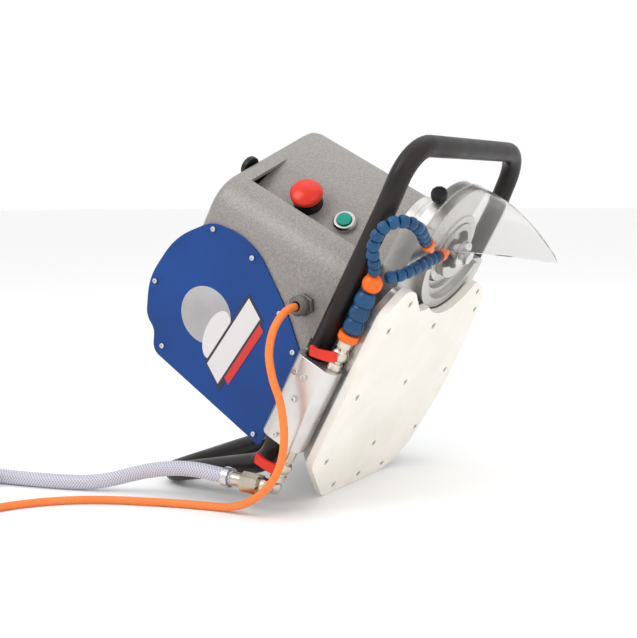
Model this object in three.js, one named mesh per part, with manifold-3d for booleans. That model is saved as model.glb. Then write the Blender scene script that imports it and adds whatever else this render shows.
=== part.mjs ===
// Hand-guided wet trimming and edging saw for stone slabs, parked upright on its tail handle.
// Millimetres. The machine is drawn in its own working frame: x towards the cutter end, z up from the
// underside of the slide plate, the valve side at -y. One group then leans it into the parked pose.
import * as THREE from 'three';
import { mergeVertices } from 'three/addons/utils/BufferGeometryUtils.js';
import Module from 'manifold-3d';

const wasm = await Module();
wasm.setup();

// driving dimensions
const fit = 0.3;                  // gap between touching pieces
const tubeR = 12.7;               // frame tube, 25.4 mm outside
const railY = 161;                // rail centre from the machine's middle
const railZ = 55;
const headBar = { x: 194.5, z: 60 };
const tailBar = { x: -362.7, y: 125, z: 201.9 };
const railSplitX = -134;          // the two bent tubes meet inside the clamp blocks
const tailBendX = -232;
const plateT = 10;                // white slide plate
const baseTop = 22;               // top of the aluminium base plate
const plateTailX = -268;
const spindleX = 77;
const notchR = 80;                // round opening of the plate about the spindle
const deckZ = 74;                 // top of the belt case
const deckTop = 80;
const housingTop = 290;
const skirtZ = 50.3;              // lower edge of the painted housing, above the case flange
const wall = 5;
const coverY = -143;              // face of the housing under the side cover
const coverT = 2.5;
const motorX = -92;
const panelTilt = 20;             // degrees the switch panel turns towards the valve side
const hoseSmallR = 7.6;
const hoseLargeR = 12.2;
const cableR = 4.8;
const waterR = 9.5;
const originShift = [97.2, 8.7];    // parked pose: moves the middle of the footprint to the origin

// parked pose: the plate's tail edge and the tail bar touch the floor together
const reach = plateTailX - tailBar.x;
const lean = Math.atan2(reach, tailBar.z) + Math.asin(tubeR / Math.hypot(reach, tailBar.z));
const part = new THREE.Group();
const machine = new THREE.Group();
machine.rotation.y = lean - Math.PI / 2;
machine.position.set(originShift[0], originShift[1], -plateTailX * Math.cos(lean));
part.add(machine);

// finishes
const finish = (color, roughness, metalness = 0, opacity = 1) => new THREE.MeshStandardMaterial({
  color, roughness, metalness, opacity, transparent: opacity < 1 });
const hammered = () => finish(0xa09a93, 0.55, 0.2);
const aluminium = () => finish(0xaaa79f, 0.4, 0.9);
const steel = () => finish(0xc4c4c4, 0.25, 1);
const brass = () => finish(0xb9a779, 0.3, 1);
const blackPaint = () => finish(0x2b2627, 0.45, 0.1);
const bluePaint = () => finish(0x0f479b, 0.35, 0.1);
const whitePlastic = () => finish(0xeee9dd, 0.5);
const bluePlastic = () => finish(0x04568f, 0.35);
const orangePlastic = () => finish(0xff7a1e, 0.4);
const redPlastic = () => finish(0xe83c28, 0.35);
const blackPlastic = () => finish(0x1c1c1c, 0.5);
const clearPlastic = () => finish(0xf4f6f8, 0.1, 0, 0.3);

// geometry to manifold solid and back
function solid(geometry) {
  const bare = geometry.index ? geometry.toNonIndexed() : geometry.clone();
  for (const name of ['normal', 'uv']) bare.deleteAttribute(name);
  const merged = mergeVertices(bare, 1e-4);
  return new wasm.Manifold(new wasm.Mesh({
    numProp: 3,
    vertProperties: new Float32Array(merged.attributes.position.array),
    triVerts: new Uint32Array(merged.index.array) }));
}

function geometryOf(body) {
  const mesh = body.getMesh();
  const geometry = new THREE.BufferGeometry();
  geometry.setAttribute('position', new THREE.BufferAttribute(mesh.vertProperties, 3));
  geometry.setIndex(new THREE.BufferAttribute(mesh.triVerts, 1));
  return geometry;
}

function add(name, shape, material, group = machine) {
  const geometry = shape.isBufferGeometry ? shape : geometryOf(shape);
  const mesh = new THREE.Mesh(geometry, material);
  mesh.name = name;
  group.add(mesh);
  return mesh;
}

const cut = (body, ...tools) => tools.reduce((rest, tool) => rest.subtract(solid(tool)), body);
const join = (first, ...others) => others.reduce((all, one) => all.add(solid(one)), solid(first));

// outline with rounded corners; each point is x, y and an optional corner radius
function outline(points) {
  const shape = new THREE.Shape();
  const corners = points.map(([x, y]) => new THREE.Vector2(x, y));
  corners.forEach((here, i) => {
    const before = corners.at(i - 1);
    const after = corners[(i + 1) % corners.length];
    const room = 0.45 * Math.min(here.distanceTo(before), here.distanceTo(after));
    const radius = Math.min(points[i][2] ?? 0, room);
    const start = before.clone().sub(here).setLength(radius).add(here);
    const end = after.clone().sub(here).setLength(radius).add(here);
    if (i) shape.lineTo(start.x, start.y); else shape.moveTo(start.x, start.y);
    if (radius) shape.quadraticCurveTo(here.x, here.y, end.x, end.y);
  });
  shape.closePath();
  return shape;
}

// flat shape raised along z from z0 to z1
function raise(shape, z0, z1, curveSegments = 5) {
  const geometry = new THREE.ExtrudeGeometry(shape, { depth: z1 - z0, bevelEnabled: false, curveSegments });
  return geometry.translate(0, 0, z0);
}

// side-view shape (x, z) raised along y from y0 to y1
function raiseAcross(shape, y0, y1, curveSegments = 5) {
  const geometry = new THREE.ExtrudeGeometry(shape, { depth: y1 - y0, bevelEnabled: false, curveSegments });
  return geometry.rotateX(Math.PI / 2).translate(0, y1, 0);
}

const up = new THREE.Vector3(0, 1, 0);
function along(geometry, at, axis) {
  const turn = new THREE.Quaternion().setFromUnitVectors(up, new THREE.Vector3(...axis).normalize());
  return geometry.applyQuaternion(turn).translate(...at);
}
const rod = (radius, length, at, axis = [0, 0, 1], sides = 20, radiusFar = radius) =>
  along(new THREE.CylinderGeometry(radiusFar, radius, length, sides).translate(0, length / 2, 0), at, axis);
const turned = (profile, at, axis = [0, 0, 1], sides = 24) =>
  along(new THREE.LatheGeometry(profile.map(([r, h]) => new THREE.Vector2(r, h)), sides), at, axis);
const ring = (outer, inner, length, at, axis = [0, 0, 1], sides = 24) =>
  turned([[inner, 0], [outer, 0], [outer, length], [inner, length], [inner, 0]], at, axis, sides);
const box = (x0, x1, y0, y1, z0, z1) =>
  new THREE.BoxGeometry(x1 - x0, y1 - y0, z1 - z0).translate((x0 + x1) / 2, (y0 + y1) / 2, (z0 + z1) / 2);

// round tube swept along a curve
function sweep(curve, radius, steps, sides = 12) {
  const section = new THREE.Shape();
  for (let i = 0; i < sides; i++) {
    const a = (i / sides) * 2 * Math.PI;
    const point = [radius * Math.cos(a), radius * Math.sin(a)];
    if (i) section.lineTo(...point); else section.moveTo(...point);
  }
  section.closePath();
  return new THREE.ExtrudeGeometry(section, { steps, extrudePath: curve, bevelEnabled: false });
}

// polyline whose corners are bent to a radius, as points close together on the bends only
function bentPath(corners, radius, perBend = 7) {
  const at = corners.map((c) => new THREE.Vector3(...c));
  const points = [at[0]];
  for (let i = 1; i < at.length - 1; i++) {
    const back = at[i - 1].clone().sub(at[i]).normalize();
    const ahead = at[i + 1].clone().sub(at[i]).normalize();
    const half = back.angleTo(ahead) / 2;
    const leg = radius / Math.tan(half);
    const centre = back.clone().add(ahead).setLength(radius / Math.sin(half)).add(at[i]);
    const from = at[i].clone().addScaledVector(back, leg).sub(centre);
    const to = at[i].clone().addScaledVector(ahead, leg).sub(centre);
    const angle = from.angleTo(to);
    for (let k = 0; k <= perBend; k++) {
      const u = k / perBend;
      points.push(centre.clone()
        .addScaledVector(from, Math.sin((1 - u) * angle) / Math.sin(angle))
        .addScaledVector(to, Math.sin(u * angle) / Math.sin(angle)));
    }
  }
  points.push(at[at.length - 1]);
  return points;
}

// tube through given points, one ring of vertices at each point
function pipe(points, radius, sides = 14) {
  const rail = new THREE.Curve();
  rail.getPoint = (t, target = new THREE.Vector3()) => target.copy(points[Math.round(t * (points.length - 1))]);
  rail.getPointAt = rail.getPoint;
  rail.getTangent = (t, target = new THREE.Vector3()) => {
    const i = Math.round(t * (points.length - 1));
    const before = points[Math.max(0, i - 1)];
    const after = points[Math.min(points.length - 1, i + 1)];
    const arriving = points[i].clone().sub(before).normalize();
    const leaving = after.clone().sub(points[i]).normalize();
    return target.copy(arriving).add(leaving).normalize();
  };
  rail.getTangentAt = rail.getTangent;
  return sweep(rail, radius, points.length - 1, sides);
}

// ---- slide plate and base ----
const platePoints = [
  [plateTailX, -84, 8], [-203, -157, 10], [8, -157, 10], [40, -128, 9], [36, -104, 6],
  [5, -64, 8]];
const plateFarPoints = [
  [36, 74, 6], [24, 108, 9], [4, 124, 12], [-16, 129, 14], [-100, 147, 20], [-160, 147, 20], [-238, 126, 20],
  [plateTailX, 78, 20]];
function plateShape(inset) {
  const shrink = ([x, y, r]) => [x + (x < -100 ? inset : -inset), y + (y < 0 ? inset : -inset), r];
  return outline([...platePoints.map(shrink), ...plateFarPoints.map(shrink)]);
}
const notch = rod(notchR, plateT + baseTop, [spindleX, 0, -5], [0, 0, 1], 48);
const plateScrews = [
  [-204, -121], [-204, 0], [-204, 121], [-108, -124], [-108, 2], [-108, 122], [-254, -65], [-254, 0], [-254, 65],
  [-14, -128], [-22, 0], [-10, 116], [20, -104], [20, 92]];
const screwHole = ([x, y]) => rod(4.5, 4, [x, y, -1], [0, 0, 1], 12);
add('slide_plate', cut(solid(raise(plateShape(0), 0, plateT)), notch, ...plateScrews.map(screwHole)),
  whitePlastic());
add('base_plate', cut(solid(raise(plateShape(6), plateT + fit, baseTop)), notch), aluminium());

// ---- belt case with the stepped round recess for the spindle ----
const flangeZ = 50;               // top of the case's flange, where its sides step in under the housing
const floorZ = 48;                // floor of the belt space
const noseR = 40;
const caseShape = outline([
  [-212, -100, 12], [-190, -116, 10], [108, -112, 8], [108, -84, 8], [62, -70, 8], [62, 70, 8], [56, 116, 10],
  [-190, 116, 10], [-212, 100, 12]]);
const caseUpper = outline([[-204, -108, 8], [40, -108, 8], [40, 108, 8], [-204, 108, 8]]);
const caseInner = outline([[-198, -102, 8], [34, -102, 8], [34, 102, 8], [-198, 102, 8]]);
const onSpindle = (h) => [spindleX, 0, h];
const recess = (radius, depth) => solid(rod(radius, depth, onSpindle(10), [0, 0, 1], 40))
  .subtract(solid(rod(36, 40, onSpindle(0), [0, 0, 1], 32)));
const caseBody = solid(raise(caseShape, baseTop + fit, flangeZ))
  .add(solid(raise(caseUpper, flangeZ - 4, deckZ)))
  .add(solid(rod(noseR, deckZ - 31, onSpindle(31), [0, 0, 1], 36)))
  .add(solid(box(30, spindleX, -noseR, noseR, 31, deckZ)))
  .subtract(solid(box(58, 200, -83, 200, 0, 31)))
  .add(cut(solid(rod(notchR - 2, 20, onSpindle(12), [0, 0, 1], 48)), box(58, 200, -200, 200, 0, 60)))
  .subtract(solid(raise(caseInner, floorZ, deckZ + 5)))
  .subtract(solid(rod(noseR - 8, 40, onSpindle(floorZ))))
  .subtract(solid(box(30, spindleX, 8 - noseR, noseR - 8, floorZ, deckZ + 5)))
  .add(solid(rod(36, 20, onSpindle(20), [0, 0, 1], 32)))
  .subtract(recess(66, 10))
  .subtract(recess(56, 17))
  .subtract(recess(49, 21.5))
  .subtract(solid(rod(27, 14, onSpindle(19), [0, 0, 1], 28)))
  .subtract(solid(rod(22.3, 60, onSpindle(8), [0, 0, 1], 24)))
  .subtract(solid(ring(87, 72, 40, onSpindle(20), [0, 0, 1], 48)).intersect(solid(box(65, 200, -120, 0, 0, 80))));
add('belt_case', caseBody, aluminium());

// plan of the bowed front, which the deck and the housing share
function bowShape(inset, tailX) {
  const i = inset;
  return outline([
    [tailX, coverY + i], [31 - i * 0.6, coverY + i, 24], [112 - i, 18, 20], [106 - i, 40, 14],
    [50 - i, -coverY - i, 30], [tailX, -coverY - i]]);
}
const bossTop = 85;

// ---- frame: two bent tubes that meet inside the clamp blocks ----
const headTube = bentPath([
  [railSplitX + fit, -railY, railZ], [120, -railY, railZ], [headBar.x, -railY + 4, headBar.z],
  [headBar.x, railY - 4, headBar.z], [120, railY, railZ], [railSplitX + fit, railY, railZ]], 44, 6);
const tailTube = bentPath([
  [railSplitX - fit, -railY, railZ], [tailBendX, -railY, railZ], [tailBar.x, -tailBar.y, tailBar.z],
  [tailBar.x, tailBar.y, tailBar.z], [tailBendX, railY, railZ], [railSplitX - fit, railY, railZ]], 44, 6);
add('head_handle_tube', pipe(headTube, tubeR), blackPaint());
add('tail_handle_tube', pipe(tailTube, tubeR), blackPaint());

// clamp blocks: an inner saddle bolted to the base and an outer cap, both bored for the tube
const blockX = [-190, -78];
const saddleShape = outline([
  [-158, baseTop + fit, 2], [-118, baseTop + fit, 2], [-118, 66, 6], [-132, 74, 8], [-158, 74]]);
const capShape = outline([[-158.3, 16], [-158.3, 74], [-172, 74, 12], [-184, 64, 8], [-184, 24, 4], [-176, 16, 4]]);
function blockHalf(shape, side) {
  const half = new THREE.ExtrudeGeometry(shape, { depth: blockX[1] - blockX[0], bevelEnabled: false,
    curveSegments: 4 });
  half.applyMatrix4(new THREE.Matrix4().makeBasis(
    new THREE.Vector3(0, 1, 0), new THREE.Vector3(0, 0, 1), new THREE.Vector3(1, 0, 0)));
  half.translate(blockX[0], 0, 0);
  const bore = rod(tubeR + fit, 160, [-210, -railY, railZ], [1, 0, 0], 28);
  const body = solid(half).subtract(solid(bore));
  return side < 0 ? body : body.mirror([0, 1, 0]);
}
for (const [side, label] of [[-1, 'near'], [1, 'far']]) {
  add(`clamp_saddle_${label}`, blockHalf(saddleShape, side), aluminium());
  add(`clamp_cap_${label}`, blockHalf(capShape, side), aluminium());
}

// ---- housing ----
// side outline of the arched back, which the side covers repeat, in x and z
function archShape(inset) {
  const i = inset;
  return outline([
    [-230 + i, deckTop + fit + i, 6], [-97 - i, deckTop + fit + i, 10], [-58, 124, 26], [-16 - i, 190, 20],
    [-9 - i, 226, 20], [-16 - i, 271 - i, 16], [-62, 314 - i, 34], [-130, 328 - i, 30],
    [-176 + i, 310 - i, 18], [-186 + i, 290 - i, 8], [-212 + i, 280 - i, 12]]);
}
const topRound = 15;
function bow(inset, top, tailX) {
  const bottom = skirtZ - 2 * topRound;
  const geometry = new THREE.ExtrudeGeometry(bowShape(inset + topRound, tailX), {
    depth: top - bottom - 2 * topRound, bevelEnabled: true, bevelThickness: topRound, bevelSize: topRound,
    bevelSegments: 3, curveSegments: 5 });
  return geometry.translate(0, 0, bottom + topRound);
}
const outerBow = cut(solid(bow(0, housingTop, -120)), box(-400, 400, -300, 300, -100, skirtZ),
  box(-400, -70, -300, 300, -100, deckTop + fit));
const deckPlan = solid(raise(bowShape(wall + fit, -212), deckZ + fit, deckTop))
  .intersect(solid(bow(wall + 2 * fit, 200, -240)));
const deck = deckPlan.add(solid(rod(noseR, bossTop - deckZ - fit, onSpindle(deckZ + fit), [0, 0, 1], 36)))
  .subtract(solid(rod(22.3, 40, onSpindle(deckZ - 5), [0, 0, 1], 24)))
  .subtract(solid(rod(24, 20, [motorX, 0, deckZ - 5])));
add('motor_deck', deck, aluminium());
const innerBow = solid(bow(wall, housingTop - wall, -160));
const outerArch = solid(raiseAcross(archShape(3), coverY, -coverY, 4));
const innerArch = solid(raiseAcross(archShape(3 + wall), coverY + wall, -coverY - wall, 3));
const motorWell = box(-200, 0, coverY + wall, -coverY - wall, deckTop - 5, deckTop + 20);

// slanted switch pocket on the bow's valve-side face
const slant = Math.atan2(0.452, 0.892);
const panelAxis = new THREE.Vector3(Math.cos(slant + panelTilt * Math.PI / 180),
  -Math.sin(slant + panelTilt * Math.PI / 180), 0);
const panelAlong = new THREE.Vector3(-panelAxis.y, panelAxis.x, 0);
const pocketMiddle = new THREE.Vector3(63, -65.8, 175);
const pocket = new THREE.BoxGeometry(60, 88, 174).translate(30, 0, 0);
pocket.applyMatrix4(new THREE.Matrix4().makeBasis(panelAxis, panelAlong, new THREE.Vector3(0, 0, 1)));
pocket.translate(...pocketMiddle.toArray());
const onPanel = (u, z, out = 0) => pocketMiddle.clone().addScaledVector(panelAlong, u).setZ(z)
  .addScaledVector(panelAxis, out).toArray();
const panelDir = panelAxis.toArray();

const pocketBack = new THREE.BoxGeometry(wall, 96, 182).translate(-wall / 2, 0, 0);
pocketBack.applyMatrix4(new THREE.Matrix4().makeBasis(panelAxis, panelAlong, new THREE.Vector3(0, 0, 1)));
pocketBack.translate(...pocketMiddle.toArray());
const estopAt = [-17.6, 193.3];
const startAt = [-14.3, 136.3];
const glandAt = [-39, coverY, 105];
const housing = outerBow.add(outerArch)
  .subtract(innerBow).subtract(innerArch)
  .subtract(solid(motorWell))
  .add(solid(pocketBack).intersect(outerBow))
  .subtract(solid(pocket))
  .subtract(solid(rod(noseR + 0.6, bossTop + fit - 40, onSpindle(40), [0, 0, 1], 36)))
  .subtract(solid(rod(11.3, 40, onPanel(...estopAt, -20), panelDir, 16)))
  .subtract(solid(rod(11.3, 40, onPanel(...startAt, -20), panelDir, 16)))
  .subtract(solid(rod(8.3, 40, [glandAt[0], coverY + 20, glandAt[2]], [0, -1, 0], 16)));
add('housing', housing, hammered());

// side covers, flat sheet with the arch outline
add('side_cover', raiseAcross(archShape(0), coverY - fit - coverT, coverY - fit, 6), bluePaint());
add('far_cover', raiseAcross(archShape(0), -coverY + fit, -coverY + fit + coverT, 4), bluePaint());
add('top_cap', turned([[0, 0], [14, 0], [14, 6], [12, 8], [0, 8]], [50, -78, housingTop + fit],
  [0, 0, 1], 20), blackPlastic());

// ---- switches ----
add('estop_collar', turned([[9, -12], [11, -12], [11, fit], [19, fit], [17, 10], [9, 10], [9, -12]],
  onPanel(...estopAt), panelDir, 24), blackPlastic());
add('estop_head', turned([[0, -8], [8.6, -8], [8.6, 16], [18.5, 16], [20.5, 18.5], [20.5, 23], [17, 26.5],
  [0, 28]], onPanel(...estopAt), panelDir, 28), redPlastic());
add('start_bezel', turned([[9, -12], [11, -12], [11, fit], [15, fit], [15, 5], [13, 8], [9.8, 8], [9.8, 2],
  [9, 2], [9, -12]], onPanel(...startAt), panelDir, 24), steel());
add('start_button', turned([[0, -6], [8.6, -6], [8.6, 5.4], [9.2, 5.4], [9.2, 10.6], [0, 11.4]],
  onPanel(...startAt), panelDir, 20), finish(0x12a08a, 0.3));

// ---- cable gland on the valve side ----
add('cable_gland', turned([[5.3, -8], [8, -8], [8, fit], [14, fit], [14, 6], [12, 7], [12, 9], [5.3, 9], [5.3, -8]],
  glandAt, [0, -1, 0], 6), finish(0x8f8c86, 0.5, 0.2));
add('gland_cap', turned([[5.3, 9.4], [12.8, 9.4], [12.8, 18], [9.5, 23], [6.4, 23], [5.3, 20], [5.3, 9.4]],
  glandAt, [0, -1, 0], 12), finish(0x8f8c86, 0.5, 0.2));

// ---- drive: motor, belt and spindle ----
const motorFoot = deckTop + fit;
const onMotor = (h) => [motorX, 0, motorFoot + h];
add('motor_end_lower', turned([[20.3, 0], [68, 0], [68, 14], [20.3, 14], [20.3, 0]], onMotor(0)), aluminium());
add('motor_stator', ring(68, 44, 124, onMotor(14 + fit)), finish(0x4a4f55, 0.5, 0.5));
add('motor_end_upper', turned([[20.3, 0], [68, 0], [62, 14], [20.3, 14], [20.3, 0]], onMotor(138.6)), aluminium());
add('motor_bearing_lower', ring(20, 9.4, 12, onMotor(1)), steel());
add('motor_bearing_upper', ring(20, 9.4, 12, onMotor(139.6)), steel());
add('rotor', turned([[0, -30], [9, -30], [9, 20], [42, 20], [42, 130], [9, 130], [9, 166], [0, 166]],
  onMotor(0)), steel());
add('motor_fan', ring(54, 9.4, 8, onMotor(156)), blackPlastic());
const beltZ = 54;
const pulley = (radius, bore) => [[bore, 0], [radius + 3, 0], [radius + 3, 1.5], [radius, 2], [radius, 14],
  [radius + 3, 14.5], [radius + 3, 16], [bore, 16], [bore, 0]];
add('motor_pulley', turned(pulley(30, 9.4), [motorX, 0, beltZ - 1]), aluminium());
add('spindle_pulley', turned(pulley(24, 12.4), [spindleX, 0, beltZ - 1]), aluminium());
const beltRun = (growth) => {
  const shape = new THREE.Shape();
  shape.absarc(motorX, 0, 30 + growth, Math.PI / 2, 1.5 * Math.PI, false);
  shape.absarc(spindleX, 0, 24 + growth, -Math.PI / 2, Math.PI / 2, false);
  shape.closePath();
  return shape;
};
const belt = solid(raise(beltRun(2.4), beltZ + 1.6, beltZ + 12.4, 12))
  .subtract(solid(raise(beltRun(fit), beltZ, beltZ + 15, 12)));
add('drive_belt', belt, finish(0x1a1a1a, 0.8));
add('spindle_bearing_lower', ring(22, 12.4, 13, [spindleX, 0, 35]), steel());
add('spindle_bearing_upper', ring(22, 12.4, 9, [spindleX, 0, 75]), steel());
add('spindle', turned([[0, 4], [7, 4], [7, 13], [12, 13], [12, 27], [20, 27], [20, 33], [12, 33], [12, 84], [0, 84]],
  [spindleX, 0, 0]), steel());
add('tool_flange', ring(17, 7.3, 6, [spindleX, 0, 6.6]), steel());
add('tool_nut', turned([[0, 0], [9.5, 0], [9.5, 6], [0, 6]], [spindleX, 0, -2.4], [0, 0, 1], 6), steel());
add('speed_control_box', box(-196, -172, -90, 90, 100, 250), finish(0x3c4043, 0.5));
add('contactor', box(-20, 20, 60, 108, deckTop + fit, deckTop + 66), finish(0xd8d4c8, 0.5));

// ---- cutter guard: a bracket on a ring about the spindle, with a clear curved sheet ----
const sector = (inner, outer, from, to) => {
  const shape = new THREE.Shape();
  shape.absarc(spindleX, 0, outer, from, to, false);
  shape.absarc(spindleX, 0, inner, to, from, true);
  shape.closePath();
  return shape;
};
const deg = Math.PI / 180;

const guardFrom = -86 * deg;
const guardTo = 14 * deg;
const guardTip = { angle: -40 * deg, z: -115 };
const sheetR = 82;
const guardBracket = solid(ring(46, 36.4, 8, onSpindle(22), [0, 0, 1], 36))
  .add(solid(raise(sector(44, sheetR - 2, guardFrom, guardTo), 24, 30, 12)))
  .add(solid(raise(sector(sheetR - 8, sheetR - 2, guardFrom, guardTo), 24, 50, 12)));
add('guard_bracket', guardBracket, aluminium());
// sheet bent round the spindle, its lower edge running from both ends down to one tip
function guardSheet(steps) {
  const places = [];
  const faces = [];
  for (let i = 0; i <= steps; i++) {
    const angle = guardFrom + (guardTo - guardFrom) * i / steps;
    const end = angle < guardTip.angle ? guardFrom : guardTo;
    const share = (angle - end) / (guardTip.angle - end);
    const low = 16 + (guardTip.z - 16) * Math.min(1, share * 1.03);
    for (const [r, z] of [[sheetR - 1.7, low], [sheetR + 1.3, low], [sheetR + 1.3, 36], [sheetR - 1.7, 36]]) {
      places.push(spindleX + r * Math.cos(angle), r * Math.sin(angle), z);
    }
    for (let k = 0; i < steps && k < 4; k++) {
      const [a, b] = [4 * i + k, 4 * i + (k + 1) % 4];
      faces.push(a, a + 4, b, b, a + 4, b + 4);
    }
  }
  const last = 4 * steps;
  faces.push(0, 1, 2, 0, 2, 3, last, last + 2, last + 1, last, last + 3, last + 2);
  const geometry = new THREE.BufferGeometry();
  geometry.setAttribute('position', new THREE.Float32BufferAttribute(places, 3));
  geometry.setIndex(faces);
  return geometry;
}
add('guard_sheet', solid(guardSheet(30)), clearPlastic());
const radial = (angle, r, z) => [spindleX + r * Math.cos(angle), r * Math.sin(angle), z];
const knobAngle = -46 * deg;
add('guard_knob', turned([[0, 0], [4, 0], [4, 6], [9, 6], [10, 8], [10, 16], [8, 18], [0, 18]],
  radial(knobAngle, sheetR - 2 + fit, 44), [Math.cos(knobAngle), Math.sin(knobAngle), 0], 10), blackPlastic());
// ---- water: inlet valve, channel through the clamp cap, coolant valve and jointed hoses ----
const waterY = -163;
const waterZ = 28;
// ball valve along an axis, measured from the face it screws into, with the post its lever turns on
function valve(x, y, direction, neck) {
  const profile = [[0, 0], [9, 0], [9, neck], [7, neck + 1], [7, neck + 3], [10, neck + 5], [11, neck + 10],
    [10, neck + 15], [8, neck + 17], [8, neck + 21], [9.5, neck + 21], [9.5, neck + 29], [0, neck + 29]];
  const stemX = x + direction * (neck + 10);
  return join(turned(profile, [x, y, waterZ], [direction, 0, 0], 12), rod(4, 14, [stemX, y, waterZ], [0, -1, 0], 10));
}
// wing lever, turning on the valve's post
function lever(x, y, tilt) {
  const blade = raise(outline([[-6, -6, 3], [20, -5, 2], [30, -9, 3], [30, 5, 3], [8, 7, 3], [-6, 6, 3]]), 0, 5, 3);
  const pointing = new THREE.Vector3(Math.sin(tilt), 0, Math.cos(tilt));
  const outward = new THREE.Vector3(0, -1, 0);
  blade.applyMatrix4(new THREE.Matrix4().makeBasis(pointing, outward.clone().cross(pointing), outward));
  return blade.translate(x, y - 14 - fit, waterZ);
}
const inletY = -171;
const coolantNeck = 9;
const inletNeck = 17;
const coolantX = -78 + fit;
const inletX = -190 - fit;
add('coolant_valve', valve(coolantX, waterY, 1, coolantNeck), brass());
add('inlet_valve', valve(inletX, inletY, -1, inletNeck), brass());
add('coolant_lever', lever(coolantX + coolantNeck + 10, waterY, -20 * deg), redPlastic());
add('inlet_lever', lever(inletX - inletNeck - 10, inletY, -9 * deg), redPlastic());
const nutX = coolantX + coolantNeck + 29 + fit;
add('hose_nut', turned([[0, 0], [11, 0], [12.6, 3], [12.6, 10], [0, 10]], [nutX, waterY, waterZ], [1, 0, 0], 12),
  orangePlastic());

// jointed hose as the plain tube that its balls and skirts fill, and a nozzle that screws on its end
const smoothPath = (points) =>
  new THREE.CatmullRomCurve3(points.map((p) => new THREE.Vector3(...p)), false, 'centripetal');
const jointedHose = (path, radius) =>
  sweep(path, radius, Math.round(path.getLength() / (radius * 1.6)), 10);
function nozzle(path) {
  const axis = path.getTangent(1);
  const at = path.getPoint(1).addScaledVector(axis, fit);
  return turned([[0, 0], [8.2, 0], [8.2, 6], [4, 20], [0, 20]], at.toArray(), axis.toArray(), 14);
}
const teeAt = [36, waterY, 29.5];
const teeR = 12;
const trunkPath = smoothPath([[nutX + 10 + 2 * fit, waterY, waterZ], [nutX + 18, waterY, waterZ],
  [teeAt[0] - teeR - fit - 4, waterY, 29.5], [teeAt[0] - teeR - fit, waterY, 29.5]]);
const upperPath = smoothPath([[49.4, -167, 31], [60, -176, 31], [78, -188, 36], [98, -190, 37], [113, -185, 31],
  [120, -170, 21], [115, -150, 13], [102, -126, 12], [97, -117, 11]]);
const lowerPath = smoothPath([[44.4, -151.5, 25], [52, -138, 16], [60, -120, 12], [67, -100, 11], [72, -80, 12],
  [76, -62, 12]]);
add('coolant_hose', jointedHose(trunkPath, hoseLargeR), bluePlastic());
add('hose_tee', new THREE.SphereGeometry(teeR, 20, 12).translate(...teeAt), orangePlastic());
add('branch_hose_upper', jointedHose(upperPath, hoseSmallR), bluePlastic());
add('branch_hose_lower', jointedHose(lowerPath, hoseSmallR), bluePlastic());
add('nozzle_upper', nozzle(upperPath), orangePlastic());
add('nozzle_lower', nozzle(lowerPath), orangePlastic());

// ---- inlet coupling: an elbow off the valve, then a barbed tail level with the floor ----
machine.updateMatrix();
const elbowAt = new THREE.Vector3(inletX - inletNeck - 40, inletY, waterZ).applyMatrix4(machine.matrix);
const couplingAt = elbowAt.clone().add(new THREE.Vector3(-1, -17.5, 4));
const couplingDir = new THREE.Vector3(-0.997, 0, 0.079);
const onCoupling = (h) => couplingAt.clone().addScaledVector(couplingDir, h).toArray();
const ball = (radius, at) => new THREE.SphereGeometry(radius, 16, 10).translate(...at);
add('hose_coupling', join(ball(10, elbowAt.toArray()), ball(10.5, onCoupling(0)),
  rod(9, 18, elbowAt.toArray(), couplingAt.clone().sub(elbowAt).toArray(), 14),
  rod(9.5, 45, onCoupling(0), couplingDir.toArray(), 16),
  rod(13.5, 24, onCoupling(6), couplingDir.toArray(), 8)), steel(), part);

// ---- free cords, drawn where they lie in the parked pose ----
const cordTube = (points, radius, steps) => sweep(smoothPath(points), radius, steps, 10);
const coilRing = (middle, meanR, halfWidth, height, sides) =>
  ring(meanR + halfWidth, meanR - halfWidth, height, middle, [0, 0, 1], sides);
const hoseRoute = [
  [-91.4, -179.6, 39.4], [-114.8, -179.7, 41.4], [-147.8, -179.3, 43], [-184.8, -178.8, 40.5],
  [-223.8, -179.3, 33], [-255.8, -182.3, 24], [-286.8, -189.3, 15], [-317.8, -199.3, 10.3],
  [-352.8, -210.3, 9.7], [-392.8, -220.3, 9.7], [-437.8, -228.3, 9.7], [-458.8, -230.3, 9.7]
];
const hoseCoil = { middle: [-522.8, -341.3, 0], meanR: 100 };
add('hose_clamp', ring(13, waterR + 1.3, 9, onCoupling(49), couplingDir.toArray(), 20), steel(), part);
add('water_hose', cordTube(hoseRoute, waterR, 14), finish(0xaaa8b6, 0.3, 0, 0.6), part);
add('water_hose_coil', coilRing(hoseCoil.middle, hoseCoil.meanR, 2 * waterR + fit, 4 * waterR + fit, 48),
  finish(0xaaa8b6, 0.3, 0, 0.6), part);
add('water_connector', turned([[0, 0], [12, 0], [14, 4], [14, 18], [11, 22], [11, 30], [14, 32], [14, 40],
  [10, 44], [10, 52], [0, 52]], [-632.8, -412.3, 14.2], [0, -1, 0], 20), brass(), part);
const cableRoute = [
  [-13.8, -157.6, 251], [-13.7, -166.4, 250.5], [-14.3, -178.2, 247], [-15.8, -190.4, 238.4],
  [-17.8, -199, 226.2], [-19.8, -202.8, 211.7], [-20.8, -203.5, 197], [-16.8, -202.5, 171],
  [-8.8, -201, 147], [-4.8, -200.3, 124], [-4.3, -199.3, 101], [-7.8, -199.3, 78], [-16.8, -198.3, 57],
  [-32.8, -197.3, 37], [-52.8, -196.3, 21.5], [-74.8, -194.3, 11], [-98.8, -192.3, 5.6],
  [-130.8, -197.3, 5], [-168.8, -207.3, 5], [-202.8, -218.3, 5], [-242.8, -233.3, 5],
  [-278.8, -253.3, 5], [-310.8, -281.3, 5], [-336.8, -319.3, 5], [-350.8, -363.3, 5],
  [-355.2, -411.3, 5], [-355.2, -469.3, 5]
];
const cableCoil = { middle: [-419.8, -506.3, 0], meanR: 55 };
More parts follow.
